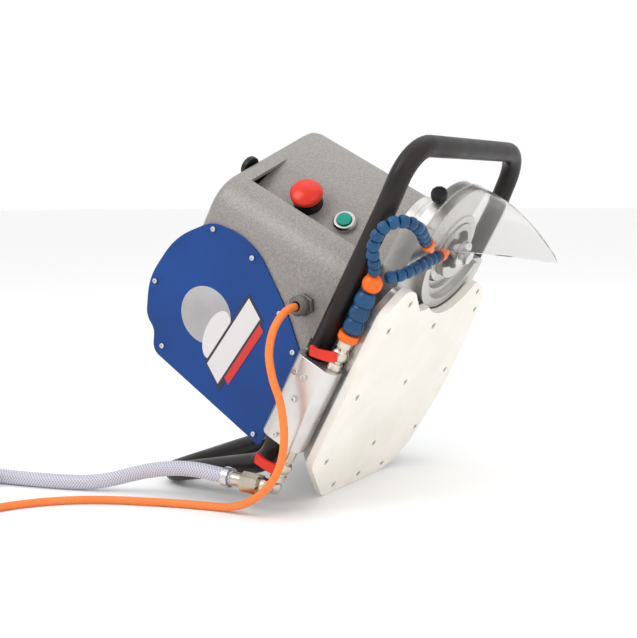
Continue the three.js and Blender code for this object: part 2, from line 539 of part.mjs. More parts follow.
const cableOrange = () => finish(0xfa8c50, 0.45);
add('power_cable', cordTube(cableRoute, cableR, 44), cableOrange(), part);
add('power_cable_coil', coilRing(cableCoil.middle, cableCoil.meanR, 3 * cableR + 2 * fit, 6 * cableR + 2 * fit, 40),
  cableOrange(), part);
const plugAt = [-460.8, -570.9, 19.2];
const pin = (side) => rod(2.4, 20, [plugAt[0] - 80, plugAt[1] + side * 9.5, plugAt[2]], [-1, 0, 0], 10);
add('power_plug', join(turned([[0, 0], [6.5, 0], [9, 34], [12, 36], [19, 44], [19, 78], [17, 82], [0, 82]],
  plugAt, [-1, 0, 0], 24), pin(-1), pin(1)), blackPlastic(), part);

export default part;
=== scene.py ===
import math

import bmesh
import bpy
from mathutils import Matrix, Vector


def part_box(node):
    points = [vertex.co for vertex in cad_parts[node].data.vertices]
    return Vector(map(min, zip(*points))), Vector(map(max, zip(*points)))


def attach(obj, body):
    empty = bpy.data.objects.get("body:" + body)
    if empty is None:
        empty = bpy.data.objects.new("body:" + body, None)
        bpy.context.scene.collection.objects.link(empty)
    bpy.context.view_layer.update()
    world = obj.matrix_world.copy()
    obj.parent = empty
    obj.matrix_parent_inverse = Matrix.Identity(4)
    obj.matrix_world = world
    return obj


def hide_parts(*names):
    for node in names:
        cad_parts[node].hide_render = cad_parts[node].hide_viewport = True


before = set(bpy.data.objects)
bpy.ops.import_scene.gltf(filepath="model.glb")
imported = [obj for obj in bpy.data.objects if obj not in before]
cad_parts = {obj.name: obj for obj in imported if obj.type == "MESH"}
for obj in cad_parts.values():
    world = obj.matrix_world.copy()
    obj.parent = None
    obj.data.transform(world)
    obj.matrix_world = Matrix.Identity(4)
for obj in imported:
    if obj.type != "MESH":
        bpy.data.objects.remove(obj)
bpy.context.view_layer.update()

# the machine's own axes: x to the cutter end, z up from the slide plate, the valves at -y
parked = {"lean": math.radians(28.388), "plateTail": 0.268, "shift": (0.0972, 0.0087)}
toParked = Matrix.Translation((*parked["shift"], parked["plateTail"] * math.cos(parked["lean"]))) \
    @ Matrix.Rotation(parked["lean"] - math.pi / 2, 4, "Y")


def onMachine(*millimetres):
    return toParked @ (Vector(millimetres) / 1000)


def machineWay(*direction):
    return (toParked.to_3x3() @ Vector(direction)).normalized()


# camera
view = {"place": (0.6882, -1.2493, 0.379), "right": (0.8529, 0.5220, -0.0099),
        "up": (-0.0486, 0.0984, 0.9940), "lens": 62.49, "sensorWidth": 36}
cameraData = bpy.data.cameras.new("camera")
cameraData.lens = view["lens"]
cameraData.sensor_width = view["sensorWidth"]
cameraData.sensor_fit = "HORIZONTAL"
camera = bpy.data.objects.new("camera", cameraData)
bpy.context.scene.collection.objects.link(camera)
right = Vector(view["right"]).normalized()
back = right.cross(Vector(view["up"])).normalized()
up = back.cross(right)
camera.matrix_world = Matrix.Translation(view["place"]) @ Matrix((right, up, back)).transposed().to_4x4()
bpy.context.scene.camera = camera
print("camera set")


# ---- shared ways of making a piece ----
def linked(name, mesh):
    piece = bpy.data.objects.new(name, mesh)
    bpy.context.scene.collection.objects.link(piece)
    return piece


def shadeByAngle(mesh, degrees=35):
    mesh.shade_smooth()
    mesh.set_sharp_from_angle(angle=math.radians(degrees))


def finished(piece, look, body="machine"):
    piece.data.materials.clear()
    piece.data.materials.append(finish[look])
    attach(piece, body)
    return piece


# a smooth curve through the given points, as points close together
def smoothLine(points, perSpan=6):
    knots = [Vector(p) for p in points]
    line = []
    for i in range(len(knots) - 1):
        here, there = knots[i], knots[i + 1]
        before = knots[i - 1] if i else here * 2 - there
        after = knots[i + 2] if i + 2 < len(knots) else there * 2 - here
        gaps = [max((b - a).length, 1e-6) ** 0.5
                for a, b in ((before, here), (here, there), (there, after))]
        leaving = ((here - before) / gaps[0] - (there - before) / (gaps[0] + gaps[1])
                   + (there - here) / gaps[1]) * gaps[1]
        arriving = ((there - here) / gaps[1] - (after - here) / (gaps[1] + gaps[2])
                    + (after - there) / gaps[2]) * gaps[1]
        for k in range(perSpan):
            t = k / perSpan
            line.append(here * (2 * t**3 - 3 * t**2 + 1) + leaving * (t**3 - 2 * t**2 + t)
                        + there * (3 * t**2 - 2 * t**3) + arriving * (t**3 - t**2))
    line.append(knots[-1])
    return line


def lengthOf(line):
    return sum((b - a).length for a, b in zip(line, line[1:]))


# round tube along a line, with u round it and v along it, both in metres
def sweptTube(name, line, radius, sides=20):
    mesh = bpy.data.meshes.new(name)
    made = bmesh.new()
    uv = made.loops.layers.uv.new("along")
    rings, travelled, side = [], [], None
    distance = 0.0
    for i, point in enumerate(line):
        ahead = (line[min(i + 1, len(line) - 1)] - line[max(i - 1, 0)]).normalized()
        if side is None:
            side = ahead.orthogonal().normalized()
        side = (side - ahead * side.dot(ahead)).normalized()
        across = ahead.cross(side)
        if i:
            distance += (point - line[i - 1]).length
        travelled.append(distance)
        rings.append([made.verts.new(point + (side * math.cos(a) + across * math.sin(a)) * radius)
                      for a in (k * 2 * math.pi / sides for k in range(sides))])
    for i in range(len(rings) - 1):
        for k in range(sides):
            n = (k + 1) % sides
            face = made.faces.new((rings[i][k], rings[i][n], rings[i + 1][n], rings[i + 1][k]))
            face.smooth = True
            corners = ((k, i), (k + 1, i), (k + 1, i + 1), (k, i + 1))
            for loop, (u, v) in zip(face.loops, corners):
                loop[uv].uv = (u * 2 * math.pi * radius / sides, travelled[v])
    made.faces.new(list(reversed(rings[0])))
    made.faces.new(rings[-1])
    made.to_mesh(mesh)
    made.free()
    return linked(name, mesh)


# profile of (radius, height) pairs turned about an axis through a place, all in metres
def turnedMesh(name, profile, place=(0, 0, 0), axis=(0, 0, 1), sides=32, angle=35):
    turn = Vector((0, 0, 1)).rotation_difference(Vector(axis)).to_matrix()
    mesh = bpy.data.meshes.new(name)
    made = bmesh.new()
    rings = []
    for radius, height in profile:
        if radius < 1e-6:
            rings.append([made.verts.new(turn @ Vector((0, 0, height)) + Vector(place))])
            continue
        angles = [k * 2 * math.pi / sides for k in range(sides)]
        rings.append([made.verts.new(turn @ Vector((radius * math.cos(a), radius * math.sin(a), height))
                                     + Vector(place)) for a in angles])
    for lower, upper in zip(rings, rings[1:]):
        for k in range(sides):
            n = (k + 1) % sides
            corners = [lower[k % len(lower)], lower[n % len(lower)],
                       upper[n % len(upper)], upper[k % len(upper)]]
            unique = list(dict.fromkeys(corners))
            if len(unique) > 2:
                made.faces.new(unique)
    bmesh.ops.recalc_face_normals(made, faces=made.faces)
    made.to_mesh(mesh)
    made.free()
    shadeByAngle(mesh, angle)
    return linked(name, mesh)


# a CAD node's own shape with softened edges, standing for that node
def softened(node, look, body="machine", edge=0.0006, angle=34, segments=2):
    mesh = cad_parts[node].data.copy()
    mesh.name = node + "_soft"
    made = bmesh.new()
    made.from_mesh(mesh)
    bmesh.ops.remove_doubles(made, verts=made.verts, dist=1e-5)
    bmesh.ops.dissolve_limit(made, angle_limit=math.radians(1), verts=made.verts, edges=made.edges)
    made.to_mesh(mesh)
    made.free()
    shadeByAngle(mesh, angle)
    piece = linked(node + "_soft", mesh)
    if edge:
        bevel = piece.modifiers.new("edges", "BEVEL")
        bevel.width = edge
        bevel.segments = segments
        bevel.limit_method = "ANGLE"
        bevel.angle_limit = math.radians(angle)
        bevel.harden_normals = True
    finished(piece, look, body)
    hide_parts(node)
    return piece


# ---- materials ----
def newMaterial(name, colour, roughness, metallic=0.0, **sockets):
    material = bpy.data.materials.new(name)
    material.use_nodes = True
    shader = material.node_tree.nodes["Principled BSDF"]
    shader.inputs["Base Color"].default_value = (*colour, 1)
    shader.inputs["Roughness"].default_value = roughness
    shader.inputs["Metallic"].default_value = metallic
    for key, value in sockets.items():
        shader.inputs[key.replace("_", " ")].default_value = value
    return material


def added(material, kind, **settings):
    node = material.node_tree.nodes.new("ShaderNode" + kind)
    for key, value in settings.items():
        if hasattr(node, key):
            setattr(node, key, value)
        else:
            node.inputs[key.replace("_", " ")].default_value = value
    return node


def wire(material, source, output, target, socket):
    material.node_tree.links.new(source.outputs[output], target.inputs[socket])


def principled(material):
    return material.node_tree.nodes["Principled BSDF"]


# base colour that runs from one tone to another, each given as (position, colour)
def twoTones(material, source, output, first, last):
    shade = added(material, "ValToRGB")
    for i, (position, colour) in enumerate((first, last)):
        shade.color_ramp.elements[i].position = position
        shade.color_ramp.elements[i].color = (*colour, 1)
    wire(material, source, output, shade, "Fac")
    wire(material, shade, "Color", principled(material), "Base Color")


# a finish with uneven gloss and a fine surface, both on the object's own coordinates
def worn(name, colour, roughness, grain, bump, gloss, metallic=0.0, patch=18, stretch=(1, 1, 1), tint=None,
         **sockets):
    material = newMaterial(name, colour, roughness, metallic, **sockets)
    where = added(material, "TexCoord")
    mapping = added(material, "Mapping")
    mapping.inputs["Scale"].default_value = stretch
    wire(material, where, "Object", mapping, "Vector")
    fine = added(material, "TexNoise", Scale=grain, Detail=5.0)
    wire(material, mapping, "Vector", fine, "Vector")
    raisedBy = added(material, "Bump", Strength=bump, Distance=0.0004)
    wire(material, fine, "Fac", raisedBy, "Height")
    wire(material, raisedBy, "Normal", principled(material), "Normal")
    broad = added(material, "TexNoise", Scale=patch, Detail=4.0)
    wire(material, where, "Object", broad, "Vector")
    spread = added(material, "MapRange")
    for key, value in (("From Min", 0.3), ("From Max", 0.7), ("To Min", gloss[0]), ("To Max", gloss[1])):
        spread.inputs[key].default_value = value
    wire(material, broad, "Fac", spread, "Value")
    wire(material, spread, "Result", principled(material), "Roughness")
    if tint:
        twoTones(material, broad, "Fac", (0.35, tint[0]), (0.65, tint[1]))
    return material


def hammeredPaint():
    material = newMaterial("hammeredPaint", (0.36, 0.345, 0.325), 0.42, 0.15)
    where = added(material, "TexCoord")
    drops = added(material, "TexVoronoi", Scale=330.0, feature="SMOOTH_F1")
    wire(material, where, "Object", drops, "Vector")
    speckle = added(material, "TexNoise", Scale=420.0, Detail=3.0)
    wire(material, where, "Object", speckle, "Vector")
    raisedBy = added(material, "Bump", Strength=0.45, Distance=0.0006)
    wire(material, drops, "Distance", raisedBy, "Height")
    wire(material, raisedBy, "Normal", principled(material), "Normal")
    twoTones(material, speckle, "Fac", (0.3, (0.20, 0.188, 0.174)), (0.72, (0.30, 0.283, 0.264)))
    return material


def braidedHose():
    material = newMaterial("braidedHose", (0.5, 0.49, 0.56), 0.3, 0.0, Transmission_Weight=0.25, IOR=1.45)
    where = added(material, "UVMap", uv_map="along")
    both = added(material, "Math", operation="MAXIMUM")
    for i, way in enumerate((1, -1)):
        turned = added(material, "Mapping")
        turned.inputs["Rotation"].default_value = (0, 0, way * math.radians(52))
        wire(material, where, "UV", turned, "Vector")
        strands = added(material, "TexWave", Scale=95.0, Distortion=0.0, Detail=0.0)
        wire(material, turned, "Vector", strands, "Vector")
        wire(material, strands, "Fac", both, i)
    twoTones(material, both, "Value", (0.55, (0.36, 0.35, 0.44)), (0.97, (0.78, 0.77, 0.84)))
    raisedBy = added(material, "Bump", Strength=0.25, Distance=0.0004)
    wire(material, both, "Value", raisedBy, "Height")
    wire(material, raisedBy, "Normal", principled(material), "Normal")
    return material


finishes = {
    "whitePlate": {"colour": (0.82, 0.79, 0.72), "roughness": 0.4, "grain": 160, "bump": 0.15,
                   "gloss": (0.36, 0.55), "tint": ((0.80, 0.765, 0.69), (0.86, 0.83, 0.77))},
    "castAluminium": {"colour": (0.55, 0.54, 0.52), "roughness": 0.4, "metallic": 0.85, "grain": 380,
                      "bump": 0.35, "gloss": (0.32, 0.5),
                      "tint": ((0.50, 0.49, 0.465), (0.62, 0.61, 0.59))},
    "machinedAluminium": {"colour": (0.62, 0.61, 0.59), "roughness": 0.3, "metallic": 0.9, "grain": 260,
                          "bump": 0.15, "gloss": (0.22, 0.4), "stretch": (1, 1, 9),
                          "tint": ((0.56, 0.55, 0.53), (0.68, 0.67, 0.65))},
    "blackTube": {"colour": (0.010, 0.007, 0.007), "roughness": 0.4, "Specular_IOR_Level": 0.3,
                  "grain": 700, "bump": 0.3, "gloss": (0.3, 0.5),
                  "tint": ((0.007, 0.005, 0.005), (0.015, 0.011, 0.010))},
    "blackMoulding": {"colour": (0.006, 0.006, 0.006), "roughness": 0.42, "Specular_IOR_Level": 0.35,
                      "grain": 900, "bump": 0.25, "gloss": (0.35, 0.5)},
    "redMoulding": {"colour": (0.62, 0.022, 0.007), "roughness": 0.3, "Specular_IOR_Level": 0.35,
                    "grain": 500, "bump": 0.05, "gloss": (0.2, 0.34),
                    "tint": ((0.58, 0.020, 0.006), (0.67, 0.026, 0.009))},
    "greenMoulding": {"colour": (0.003, 0.27, 0.19), "roughness": 0.28, "Specular_IOR_Level": 0.35,
                      "grain": 500, "bump": 0.05, "gloss": (0.2, 0.34)},
    "greyNylon": {"colour": (0.15, 0.143, 0.135), "roughness": 0.4, "metallic": 0.5, "grain": 500,
                  "bump": 0.15, "gloss": (0.4, 0.55)},
    "turnedSteel": {"colour": (0.62, 0.62, 0.62), "roughness": 0.22, "metallic": 1.0, "grain": 300,
                    "bump": 0.12, "gloss": (0.16, 0.32)},
    "platedBrass": {"colour": (0.60, 0.55, 0.46), "roughness": 0.2, "metallic": 1.0, "grain": 240,
                    "bump": 0.15, "gloss": (0.14, 0.34),
                    "tint": ((0.52, 0.46, 0.37), (0.68, 0.64, 0.56))},
    "orangeAcetal": {"colour": (0.85, 0.135, 0.006), "roughness": 0.32, "Specular_IOR_Level": 0.35,
                     "grain": 500, "bump": 0.08, "gloss": (0.26, 0.4)},
    "blueAcetal": {"colour": (0.001, 0.055, 0.15), "roughness": 0.3, "Specular_IOR_Level": 0.4,
                   "grain": 500, "bump": 0.08, "gloss": (0.24, 0.4),
                   "tint": ((0.001, 0.045, 0.125), (0.002, 0.07, 0.18))},
    "orangeSheath": {"colour": (0.82, 0.2, 0.035), "roughness": 0.42, "Specular_IOR_Level": 0.35,
                     "grain": 600, "bump": 0.15, "gloss": (0.38, 0.52),
                     "tint": ((0.79, 0.185, 0.03), (0.86, 0.215, 0.04))},
    "clearSheet": {"colour": (0.84, 0.83, 0.82), "roughness": 0.06, "metallic": 0.0,
                   "Transmission_Weight": 0.93, "IOR": 1.2, "grain": 700, "bump": 0.01,
                   "gloss": (0.03, 0.12)},
    "motorSteel": {"colour": (0.05, 0.055, 0.06), "roughness": 0.45, "metallic": 0.6, "grain": 300,
                   "bump": 0.2, "gloss": (0.4, 0.55)},
    "beltRubber": {"colour": (0.015, 0.015, 0.015), "roughness": 0.7, "grain": 300, "bump": 0.3,
                   "gloss": (0.6, 0.8)},
    "creamMoulding": {"colour": (0.62, 0.57, 0.48), "roughness": 0.5, "grain": 300, "bump": 0.15,
                      "gloss": (0.4, 0.6)},
    "filmGrey": {"colour": (0.36, 0.35, 0.36), "roughness": 0.4, "grain": 500, "bump": 0.05,
                 "gloss": (0.34, 0.46), "tint": ((0.33, 0.32, 0.33), (0.40, 0.39, 0.40))},
    "filmPale": {"colour": (0.62, 0.6, 0.6), "roughness": 0.4, "grain": 500, "bump": 0.05,
                 "gloss": (0.34, 0.46)},
    "filmDark": {"colour": (0.02, 0.02, 0.03), "roughness": 0.4, "grain": 500, "bump": 0.05,
                 "gloss": (0.34, 0.46)},
    "filmRed": {"colour": (0.55, 0.02, 0.015), "roughness": 0.4, "grain": 500, "bump": 0.05,
                "gloss": (0.34, 0.46)},
    "coverSheet": {"colour": (0.002, 0.042, 0.2), "roughness": 0.42, "Specular_IOR_Level": 0.3,
                   "grain": 900, "bump": 0.06, "gloss": (0.38, 0.5), "patch": 9,
                   "tint": ((0.001, 0.038, 0.18), (0.003, 0.048, 0.23))}
}
finish = {name: worn(name, **given) for name, given in finishes.items()}
finish["hammeredPaint"] = hammeredPaint()
finish["braidedHose"] = braidedHose()
print("materials made")

# ---- power cable and water hose ----
# lanes: how many turn widths each lap lies out from the mean radius, three laps to a layer
cable = {"radius": 0.0048, "sides": 14, "meanRadius": 0.055, "perTurn": 18,
         "lanes": (1, 0, -1, -1, 0, 1, 0.15, -0.85), "perLayer": 3}
hose = {"radius": 0.0095, "sides": 22, "meanRadius": 0.1, "perTurn": 18, "turns": 2.25}
layGap = 0.0002  # between neighbouring turns, and under the lowest
crossFrom = 0.6  # the share of a turn after which a cord moves over to its next lane
cableRoute = [
    (-0.0138, -0.1576, 0.251), (-0.0137, -0.1664, 0.2505), (-0.0143, -0.1782, 0.247),
    (-0.0158, -0.1904, 0.2384), (-0.0178, -0.199, 0.2262), (-0.0198, -0.2028, 0.2117),
    (-0.0208, -0.2035, 0.197), (-0.0168, -0.2025, 0.171), (-0.0088, -0.201, 0.147),
    (-0.0048, -0.2003, 0.124), (-0.0043, -0.1993, 0.101), (-0.0078, -0.1993, 0.078),
    (-0.0168, -0.1983, 0.057), (-0.0328, -0.1973, 0.037), (-0.0528, -0.1963, 0.0215),
    (-0.0748, -0.1943, 0.011), (-0.0988, -0.1923, 0.0056), (-0.1308, -0.1973, 0.005),
    (-0.1688, -0.2073, 0.005), (-0.2028, -0.2183, 0.005), (-0.2428, -0.2333, 0.005),
    (-0.2788, -0.2533, 0.005), (-0.3108, -0.2813, 0.005), (-0.3368, -0.3193, 0.005),
    (-0.3508, -0.3633, 0.005), (-0.3552, -0.4113, 0.005), (-0.3552, -0.4693, 0.005)
]
hoseRoute = [
    (-0.0914, -0.1796, 0.0394), (-0.1148, -0.1797, 0.0414), (-0.1478, -0.1793, 0.043),
    (-0.1848, -0.1788, 0.0405), (-0.2238, -0.1793, 0.033), (-0.2558, -0.1823, 0.024),
    (-0.2868, -0.1893, 0.015), (-0.3178, -0.1993, 0.0103), (-0.3528, -0.2103, 0.0097),
    (-0.3928, -0.2203, 0.0097), (-0.4378, -0.2283, 0.0097), (-0.4588, -0.2303, 0.0097)
]
cableMiddle = Vector((-0.4198, -0.5063, 0))
hoseMiddle = Vector((-0.5228, -0.3413, 0))


def eased(t):
    return t * t * (3 - 2 * t)


# clockwise from the east side: layer by layer, across and back, then over the top and out to the plug
def cableCoil():
    step = 2 * cable["radius"] + layGap
    lanes = cable["lanes"]
    lastLap = len(lanes) - 1
    points = []
    for k in range(1, len(lanes) * cable["perTurn"] + 1):
        turn = k / cable["perTurn"]
        lap = min(int(turn), lastLap)
        across = eased(max(0, (turn - lap - crossFrom) / (1 - crossFrom)))
        lane = lanes[lap] + (lanes[min(lap + 1, lastLap)] - lanes[lap]) * across
        level = lap // cable["perLayer"]
        rising = across if (lap + 1) // cable["perLayer"] > level and lap < lastLap else 0
        angle = -2 * math.pi * turn
        radius = cable["meanRadius"] + lane * step
        points.append(cableMiddle + Vector((radius * math.cos(angle), radius * math.sin(angle),
                                            cable["radius"] + layGap + (level + rising) * step)))
    return points


def cableWayOut():
    points = []
    step = 2 * cable["radius"] + layGap
    for k in range(1, 6):
        t = k / 5
        angle = -math.pi / 2 * t
        radius = cable["meanRadius"] + (-0.85 + 1.85 * eased(t)) * step
        height = cable["radius"] + (2 + 0.9 * math.sin(math.pi * min(1, t * 1.1))) * step - 0.005 * t
        points.append(cableMiddle + Vector((radius * math.cos(angle), radius * math.sin(angle), height)))
    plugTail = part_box("power_plug")
    level = (plugTail[0][2] + plugTail[1][2]) / 2
    points.append(Vector((plugTail[1][0] + 0.02, points[-1].y, level + 0.0012)))
    points.append(Vector((plugTail[1][0] - 0.002, (plugTail[0][1] + plugTail[1][1]) / 2, level)))
    return points


# anticlockwise from the north side: two flat turns, then a quarter on top and down to the connector
def hoseCoil():
    step = 2 * hose["radius"] + layGap
    points = []
    for k in range(1, int(hose["turns"] * hose["perTurn"]) + 1):
        turn = k / hose["perTurn"]
        angle = math.pi / 2 + 2 * math.pi * turn
        inward = eased(min(1, max(0, (turn - crossFrom) / (1 - crossFrom))))
        over = eased(min(1, max(0, (turn - 1.6) / 0.35)))
        lane = 0.5 - inward + over
        radius = hose["meanRadius"] + lane * step
        points.append(hoseMiddle + Vector((radius * math.cos(angle), radius * math.sin(angle),
                                           hose["radius"] + layGap + over * step * 0.98)))
    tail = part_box("water_connector")
    middle = (Vector(tail[0]) + Vector(tail[1])) / 2
    points.append(Vector((middle.x, tail[1][1] + 0.03, 0.019)))
    points.append(Vector((middle.x, tail[1][1] - 0.001, middle.z)))
    return points


cableLine = smoothLine([Vector(p) for p in cableRoute] + cableCoil() + cableWayOut(), 5)
hoseLine = smoothLine([Vector(p) for p in hoseRoute] + hoseCoil(), 6)
cablePiece = sweptTube("cable_sheath", cableLine, cable["radius"], cable["sides"])
finished(cablePiece, "orangeSheath")
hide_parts("power_cable", "power_cable_coil")
hosePiece = sweptTube("hose_braided", hoseLine, hose["radius"], hose["sides"])
finished(hosePiece, "braidedHose")
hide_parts("water_hose", "water_hose_coil")
plug = softened("power_plug", "blackMoulding", edge=0.0008)
connector = softened("water_connector", "platedBrass", edge=0.0005)
print("cable and hose laid", round(lengthOf(cableLine), 3), round(lengthOf(hoseLine), 3))


# ---- repeated pieces by Geometry Nodes ----
# copies of one small mesh at the points of a mesh, all turned one way
def scattered(name, sample, places, way, look, body, scale=1.0):
    cloud = bpy.data.meshes.new(name + "_places")
    cloud.from_pydata([tuple(p) for p in places], [], [])
    holder = linked(name + "_places", cloud)
    tree = bpy.data.node_groups.new(name, "GeometryNodeTree")
    tree.interface.new_socket("Geometry", in_out="INPUT", socket_type="NodeSocketGeometry")
    tree.interface.new_socket("Geometry", in_out="OUTPUT", socket_type="NodeSocketGeometry")
    turnSocket = tree.interface.new_socket("Turn", in_out="INPUT", socket_type="NodeSocketVector")
    sizeSocket = tree.interface.new_socket("Size", in_out="INPUT", socket_type="NodeSocketFloat")
    sampleSocket = tree.interface.new_socket("Sample", in_out="INPUT", socket_type="NodeSocketObject")
    nodes, links = tree.nodes, tree.links
    incoming, outgoing = nodes.new("NodeGroupInput"), nodes.new("NodeGroupOutput")
    info = nodes.new("GeometryNodeObjectInfo")
    placed = nodes.new("GeometryNodeInstanceOnPoints")
    real = nodes.new("GeometryNodeRealizeInstances")
    painted = nodes.new("GeometryNodeSetMaterial")
    painted.inputs["Material"].default_value = finish[look]
    links.new(incoming.outputs["Sample"], info.inputs["Object"])
    links.new(incoming.outputs["Geometry"], placed.inputs["Points"])
    links.new(info.outputs["Geometry"], placed.inputs["Instance"])
    links.new(incoming.outputs["Turn"], placed.inputs["Rotation"])
    links.new(incoming.outputs["Size"], placed.inputs["Scale"])
    links.new(placed.outputs["Instances"], real.inputs["Geometry"])
    links.new(real.outputs["Geometry"], painted.inputs["Geometry"])
    links.new(painted.outputs["Geometry"], outgoing.inputs["Geometry"])
    modifier = holder.modifiers.new("copies", "NODES")
    modifier.node_group = tree
    turn = Vector((0, 0, 1)).rotation_difference(Vector(way)).to_matrix()
    modifier[turnSocket.identifier] = tuple(turn.to_euler())
    modifier[sizeSocket.identifier] = scale
    modifier[sampleSocket.identifier] = sample
    result = bpy.data.meshes.new_from_object(holder.evaluated_get(bpy.context.evaluated_depsgraph_get()))
    shadeByAngle(result)
    piece = linked(name, result)
    bpy.data.objects.remove(holder)
    return finished(piece, look, body)


# copies of one segment along a path, each turned to follow it
def strung(name, sample, line, pitch, look, body):
    curve = bpy.data.curves.new(name + "_path", "CURVE")
    curve.dimensions = "3D"
    spline = curve.splines.new("POLY")
    spline.points.add(len(line) - 1)
    for point, place in zip(spline.points, line):
        point.co = (*place, 1)
    holder = linked(name + "_path", curve)
    tree = bpy.data.node_groups.new(name, "GeometryNodeTree")
    tree.interface.new_socket("Geometry", in_out="INPUT", socket_type="NodeSocketGeometry")
    tree.interface.new_socket("Geometry", in_out="OUTPUT", socket_type="NodeSocketGeometry")
    countSocket = tree.interface.new_socket("Segments", in_out="INPUT", socket_type="NodeSocketInt")
    sampleSocket = tree.interface.new_socket("Sample", in_out="INPUT", socket_type="NodeSocketObject")
    nodes, links = tree.nodes, tree.links
    incoming, outgoing = nodes.new("NodeGroupInput"), nodes.new("NodeGroupOutput")
    spaced = nodes.new("GeometryNodeResampleCurve")
    info = nodes.new("GeometryNodeObjectInfo")
    tangent = nodes.new("GeometryNodeInputTangent")
    facing = nodes.new("FunctionNodeAlignRotationToVector")
    facing.axis = "Z"
    placed = nodes.new("GeometryNodeInstanceOnPoints")
    real = nodes.new("GeometryNodeRealizeInstances")
    painted = nodes.new("GeometryNodeSetMaterial")
    painted.inputs["Material"].default_value = finish[look]
    links.new(incoming.outputs["Geometry"], spaced.inputs["Curve"])
    links.new(incoming.outputs["Segments"], spaced.inputs["Count"])
    links.new(incoming.outputs["Sample"], info.inputs["Object"])
    links.new(tangent.outputs["Tangent"], facing.inputs["Vector"])
    links.new(spaced.outputs["Curve"], placed.inputs["Points"])
    links.new(info.outputs["Geometry"], placed.inputs["Instance"])
    links.new(facing.outputs["Rotation"], placed.inputs["Rotation"])
    links.new(placed.outputs["Instances"], real.inputs["Geometry"])
    links.new(real.outputs["Geometry"], painted.inputs["Geometry"])
    links.new(painted.outputs["Geometry"], outgoing.inputs["Geometry"])
    modifier = holder.modifiers.new("segments", "NODES")
    modifier.node_group = tree
    modifier[countSocket.identifier] = round(lengthOf(line) / pitch) + 1
    modifier[sampleSocket.identifier] = sample
    result = bpy.data.meshes.new_from_object(holder.evaluated_get(bpy.context.evaluated_depsgraph_get()))
    shadeByAngle(result, 50)
    piece = linked(name, result)
    bpy.data.objects.remove(holder)
    return finished(piece, look, body)


def capScrew(name, radius, height):
    return turnedMesh(name, [(0, height * 0.4), (radius * 0.5, height * 0.4), (radius * 0.5, height * 0.97),
                             (radius * 0.86, height), (radius, height * 0.84), (radius, 0), (0, 0)], sides=20)


samples = {"cap": capScrew("cap_sample", 0.0038, 0.0036), "sunk": capScrew("sunk_sample", 0.0042, 0.0022)}
sides = {"near": -1, "far": 1}

# ---- frame tubes ----
tube = {"radius": 12.7, "railY": 161, "railZ": 55, "split": -134, "bend": 44, "gap": 0.3,
        "tailBendX": -232, "headBendX": 120}
bars = {"head": (194.5, 157, 60), "tail": (-362.7, 125, 201.9)}


def bentLine(corners, radius, perBend=12):
    corners = [Vector(c) for c in corners]
    line = [corners[0]]
    for before, here, after in zip(corners, corners[1:], corners[2:]):
        toBefore, toAfter = (before - here).normalized(), (after - here).normalized()
        half = toBefore.angle(toAfter) / 2
        leg = radius / math.tan(half)
        centre = here + (toBefore + toAfter).normalized() * (radius / math.sin(half))
        start, end = here + toBefore * leg - centre, here + toAfter * leg - centre
        angle = start.angle(end)
        for k in range(perBend + 1):
            u = k / perBend
            line.append(centre + start * (math.sin((1 - u) * angle) / math.sin(angle))
                        + end * (math.sin(u * angle) / math.sin(angle)))
    return line + [corners[-1]]


def handleTube(node, end, bendX, bar):
    y = tube["railY"]
    corners = [(end, -y, tube["railZ"]), (bendX, -y, tube["railZ"]), (bar[0], -bar[1], bar[2]),
               (bar[0], bar[1], bar[2]), (bendX, y, tube["railZ"]), (end, y, tube["railZ"])]
    line = [onMachine(*p) for p in bentLine(corners, tube["bend"])]
    piece = sweptTube(node + "_round", line, tube["radius"] / 1000, 32)
    finished(piece, "blackTube")
    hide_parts(node)


handleTube("head_handle_tube", tube["split"] + tube["gap"], tube["headBendX"], bars["head"])
handleTube("tail_handle_tube", tube["split"] - tube["gap"], tube["tailBendX"], bars["tail"])
print("frame tubes bent")

# ---- plates, case and clamp blocks ----
softened("slide_plate", "whitePlate", edge=0.0015, segments=3)
softened("base_plate", "machinedAluminium", edge=0.0006)
softened("belt_case", "castAluminium", edge=0.0008)
softened("motor_deck", "castAluminium", edge=0.0006)
for name in sides:
    softened("clamp_saddle_" + name, "machinedAluminium", edge=0.0008)
    softened("clamp_cap_" + name, "machinedAluminium", edge=0.0012)
plateScrews = {"z": 2.9, "places": [(-204, -121), (-204, 0), (-204, 121), (-108, -124), (-108, 2), (-108, 122),
                                    (-254, -65), (-254, 0), (-254, 65), (-14, -128), (-22, 0), (-10, 116),
                                    (20, -104), (20, 92)]}
scattered("plate_screws", samples["sunk"],
          [onMachine(x, y, plateScrews["z"]) for x, y in plateScrews["places"]],
          machineWay(0, 0, -1), "turnedSteel", "machine")
clampScrews = {"near": {"sample": "cap", "y": 184}, "far": {"sample": "sunk", "y": 181.9},
               "places": [(-99, 47), (-129, 47), (-181, 49), (-99, 60)]}
for name, side in sides.items():
    kind = clampScrews[name]
    scattered("clamp_screws_" + name, samples[kind["sample"]],
              [onMachine(x, side * kind["y"], z) for x, z in clampScrews["places"]],
              machineWay(0, side, 0), "turnedSteel", "machine")
print("plates and clamps done")

# ---- housing, covers and switches ----
softened("housing", "hammeredPaint", edge=0.0012, angle=38)
softened("side_cover", "coverSheet", edge=0.0004)
softened("far_cover", "coverSheet", edge=0.0004)
coverScrews = {"y": 145.8, "scale": 0.9, "places": [(-23, 264), (-26, 196), (-98, 92), (-198, 268), (-220, 94),
                                                    (-128, 316), (-66, 130)]}
for name, side in sides.items():
    scattered("cover_screws_" + name, samples["cap"],
              [onMachine(x, side * coverScrews["y"], z) for x, z in coverScrews["places"]],
              machineWay(0, side, 0), "turnedSteel", "machine", scale=coverScrews["scale"])


# plain coloured shapes of thin film on the valve-side cover, given as x and z on its face
filmFace = {"under": -145.9, "over": -146.0}


